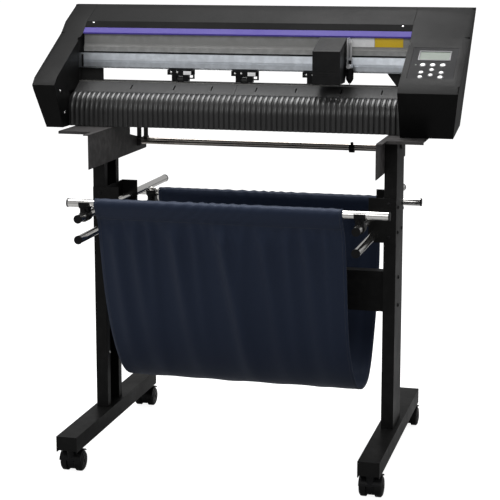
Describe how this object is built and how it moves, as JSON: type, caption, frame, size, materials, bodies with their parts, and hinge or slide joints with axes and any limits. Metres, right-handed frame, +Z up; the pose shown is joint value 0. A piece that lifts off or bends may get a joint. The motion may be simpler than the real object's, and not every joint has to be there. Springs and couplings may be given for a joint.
{
  "type": "printer cutter",
  "caption": "Floor-standing vinyl sheet cutter: long housing with carriage and platen over a castered stand with roll bars and a hanging cloth basket.",
  "frame": {"origin": "on the floor under the centre of the overall bounding box", "axes": "+X to the right as the operator faces the machine, +Y from the operator towards the rear, +Z up"},
  "size_m": [1.035, 0.672, 1.087],
  "materials": {
    "black_coat": "powder coated, satin",
    "arm_coat": "powder coated, satin",
    "bright_tube": "polished",
    "black_plastic": "moulded, satin",
    "cover_plastic": "fine texture",
    "cloth_navy": "plain weave",
    "zinc_screw": "zinc plated",
    "roll_steel": "ground",
    "wheel_plastic": "moulded",
    "chassis_steel": "satin",
    "band_black": "semi gloss",
    "accent_purple": "satin",
    "inner_grey": "satin",
    "rail_aluminium": "anodised",
    "platen_grey": "satin",
    "apron_black": "satin",
    "board_green": "lacquered",
    "panel_grey": "satin",
    "lcd_green": "glossy",
    "key_white": "moulded",
    "carriage_grey": "satin",
    "tool_silver": "machined",
    "roller_rubber": "ground",
    "belt_rubber": "moulded"
  },
  "bodies": {
    "frame": {"base_beams": "black_coat", "columns": "black_coat", "cross_panel": "black_coat", "arm_left": "arm_coat", "arm_right": "arm_coat", "rod_brackets": "black_coat", "basket_tubes": "bright_tube", "bar_fittings": "black_plastic", "basket_cloth": "cloth_navy", "screws": "zinc_screw", "base_tray": "chassis_steel", "top_cover": "cover_plastic", "fascia_band": "band_black", "accent_strip": "accent_purple", "end_cover_left": "cover_plastic", "end_cover_right": "cover_plastic", "inner_cover": "inner_grey", "guide_rail": "rail_aluminium", "platen": "platen_grey", "apron_left": "apron_black", "apron_right": "apron_black", "control_board": "board_green", "motors": "chassis_steel", "power_inlet": "black_plastic", "panel_plate": "panel_grey", "display": "lcd_green", "drive_belt": "belt_rubber"},
    "roll_bar_front": {"roll_bar_front": "roll_steel"},
    "roll_bar_rear": {"roll_bar_rear": "roll_steel"},
    "roll_stop": {"roll_stop": "black_plastic"},
    "caster_front_left": {"caster_front_left": "black_plastic"},
    "wheels_front_left": {"wheels_front_left": "wheel_plastic"},
    "caster_front_right": {"caster_front_right": "black_plastic"},
    "wheels_front_right": {"wheels_front_right": "wheel_plastic"},
    "caster_rear_left": {"caster_rear_left": "black_plastic"},
    "wheels_rear_left": {"wheels_rear_left": "wheel_plastic"},
    "caster_rear_right": {"caster_rear_right": "black_plastic"},
    "wheels_rear_right": {"wheels_rear_right": "wheel_plastic"},
    "feed_roller": {"feed_roller": "zinc_screw"},
    "pinch_arm_left": {"pinch_arm_left": "black_plastic"},
    "pinch_wheel_left": {"pinch_wheel_left": "roller_rubber"},
    "pinch_arm_middle": {"pinch_arm_middle": "black_plastic"},
    "pinch_wheel_middle": {"pinch_wheel_middle": "roller_rubber"},
    "pinch_arm_right": {"pinch_arm_right": "black_plastic"},
    "pinch_wheel_right": {"pinch_wheel_right": "roller_rubber"},
    "carriage": {"carriage_body": "chassis_steel", "carriage_cover": "carriage_grey"},
    "tool": {"tool_mount": "tool_silver", "blade_holder": "black_plastic"},
    "drive_pulley": {"drive_pulley": "tool_silver"},
    "idler_pulley": {"idler_pulley": "tool_silver"},
    "key_f1": {"key_f1": "key_white"},
    "key_f2": {"key_f2": "key_white"},
    "key_f3": {"key_f3": "key_white"},
    "key_up": {"key_up": "key_white"},
    "key_left": {"key_left": "key_white"},
    "key_right": {"key_right": "key_white"},
    "key_down": {"key_down": "key_white"},
    "key_end": {"key_end": "key_white"},
    "key_enter": {"key_enter": "key_white"}
  },
  "joints": [
    {"name": "roll_bar_front_spin", "type": "hinge", "parent": "frame", "child": "roll_bar_front", "pos_m": [0, 0.169, 0.735], "axis": [1, 0, 0], "continuous": true},
    {"name": "roll_bar_rear_spin", "type": "hinge", "parent": "frame", "child": "roll_bar_rear", "pos_m": [0, 0.224, 0.735], "axis": [1, 0, 0], "continuous": true},
    {"name": "roll_stop_slide", "type": "slide", "parent": "roll_bar_front", "child": "roll_stop", "axis": [1, 0, 0], "range_m": [-0.54, 0.1]},
    {"name": "caster_front_left_swivel", "type": "hinge", "parent": "frame", "child": "caster_front_left", "pos_m": [-0.36, -0.306, 0.05], "axis": [0, 0, 1], "continuous": true},
    {"name": "wheels_front_left_spin", "type": "hinge", "parent": "caster_front_left", "child": "wheels_front_left", "pos_m": [-0.36, -0.289, 0.025], "axis": [1, 0, 0], "continuous": true},
    {"name": "caster_front_right_swivel", "type": "hinge", "parent": "frame", "child": "caster_front_right", "pos_m": [0.36, -0.306, 0.05], "axis": [0, 0, 1], "continuous": true},
    {"name": "wheels_front_right_spin", "type": "hinge", "parent": "caster_front_right", "child": "wheels_front_right", "pos_m": [0.36, -0.289, 0.025], "axis": [1, 0, 0], "continuous": true},
    {"name": "caster_rear_left_swivel", "type": "hinge", "parent": "frame", "child": "caster_rear_left", "pos_m": [-0.36, 0.244, 0.05], "axis": [0, 0, 1], "continuous": true},
    {"name": "wheels_rear_left_spin", "type": "hinge", "parent": "caster_rear_left", "child": "wheels_rear_left", "pos_m": [-0.36, 0.261, 0.025], "axis": [1, 0, 0], "continuous": true},
    {"name": "caster_rear_right_swivel", "type": "hinge", "parent": "frame", "child": "caster_rear_right", "pos_m": [0.36, 0.244, 0.05], "axis": [0, 0, 1], "continuous": true},
    {"name": "wheels_rear_right_spin", "type": "hinge", "parent": "caster_rear_right", "child": "wheels_rear_right", "pos_m": [0.36, 0.261, 0.025], "axis": [1, 0, 0], "continuous": true},
    {"name": "feed_roller_spin", "type": "hinge", "parent": "frame", "child": "feed_roller", "pos_m": [0, 0.081, 0.8922], "axis": [1, 0, 0], "continuous": true},
    {"name": "pinch_arm_left_slide", "type": "slide", "parent": "frame", "child": "pinch_arm_left", "axis": [1, 0, 0], "range_m": [-0.221, 0.049]},
    {"name": "pinch_wheel_left_spin", "type": "hinge", "parent": "pinch_arm_left", "child": "pinch_wheel_left", "pos_m": [-0.199, 0.081, 0.9075], "axis": [1, 0, 0], "continuous": true},
    {"name": "pinch_arm_middle_slide", "type": "slide", "parent": "frame", "child": "pinch_arm_middle", "axis": [1, 0, 0], "range_m": [-0.04, 0.079]},
    {"name": "pinch_wheel_middle_spin", "type": "hinge", "parent": "pinch_arm_middle", "child": "pinch_wheel_middle", "pos_m": [-0.034, 0.081, 0.9075], "axis": [1, 0, 0], "continuous": true},
    {"name": "pinch_arm_right_slide", "type": "slide", "parent": "frame", "child": "pinch_arm_right", "axis": [1, 0, 0], "range_m": [-0.03, 0.184]},
    {"name": "pinch_wheel_right_spin", "type": "hinge", "parent": "pinch_arm_right", "child": "pinch_wheel_right", "pos_m": [0.146, 0.081, 0.9075], "axis": [1, 0, 0], "continuous": true},
    {"name": "carriage_slide", "type": "slide", "parent": "frame", "child": "carriage", "axis": [1, 0, 0], "range_m": [-0.61, 0.13]},
    {"name": "tool_lift", "type": "slide", "parent": "carriage", "child": "tool", "axis": [0, 0, -1], "range_m": [0, 0.004], "stiffness_N_per_m": 60, "springref_m": -0.01},
    {"name": "drive_pulley_spin", "type": "hinge", "parent": "frame", "child": "drive_pulley", "pos_m": [0.404, 0.121, 0.957], "axis": [0, 0, 1], "range_deg": [-4600, 4600]},
    {"name": "idler_pulley_spin", "type": "hinge", "parent": "frame", "child": "idler_pulley", "pos_m": [-0.482, 0.121, 0.957], "axis": [0, 0, 1], "range_deg": [-4600, 4600]},
    {"name": "key_f1_press", "type": "slide", "parent": "frame", "child": "key_f1", "axis": [0, 0.4702, -0.8825], "range_m": [0, 0.0012], "stiffness_N_per_m": 800},
    {"name": "key_f2_press", "type": "slide", "parent": "frame", "child": "key_f2", "axis": [0, 0.4702, -0.8825], "range_m": [0, 0.0012], "stiffness_N_per_m": 800},
    {"name": "key_f3_press", "type": "slide", "parent": "frame", "child": "key_f3", "axis": [0, 0.4702, -0.8825], "range_m": [0, 0.0012], "stiffness_N_per_m": 800},
    {"name": "key_up_press", "type": "slide", "parent": "frame", "child": "key_up", "axis": [0, 0.4702, -0.8825], "range_m": [0, 0.0012], "stiffness_N_per_m": 800},
    {"name": "key_left_press", "type": "slide", "parent": "frame", "child": "key_left", "axis": [0, 0.4702, -0.8825], "range_m": [0, 0.0012], "stiffness_N_per_m": 800},
    {"name": "key_right_press", "type": "slide", "parent": "frame", "child": "key_right", "axis": [0, 0.4702, -0.8825], "range_m": [0, 0.0012], "stiffness_N_per_m": 800},
    {"name": "key_down_press", "type": "slide", "parent": "frame", "child": "key_down", "axis": [0, 0.4702, -0.8825], "range_m": [0, 0.0012], "stiffness_N_per_m": 800},
    {"name": "key_end_press", "type": "slide", "parent": "frame", "child": "key_end", "axis": [0, 0.4702, -0.8825], "range_m": [0, 0.0012], "stiffness_N_per_m": 800},
    {"name": "key_enter_press", "type": "slide", "parent": "frame", "child": "key_enter", "axis": [0, 0.4702, -0.8825], "range_m": [0, 0.0012], "stiffness_N_per_m": 800}
  ],
  "couplings": [
    {"joint": "drive_pulley_spin", "follows": "carriage_slide", "rad_per_m": 102.04},
    {"joint": "idler_pulley_spin", "follows": "carriage_slide", "rad_per_m": 102.04}
  ]
}
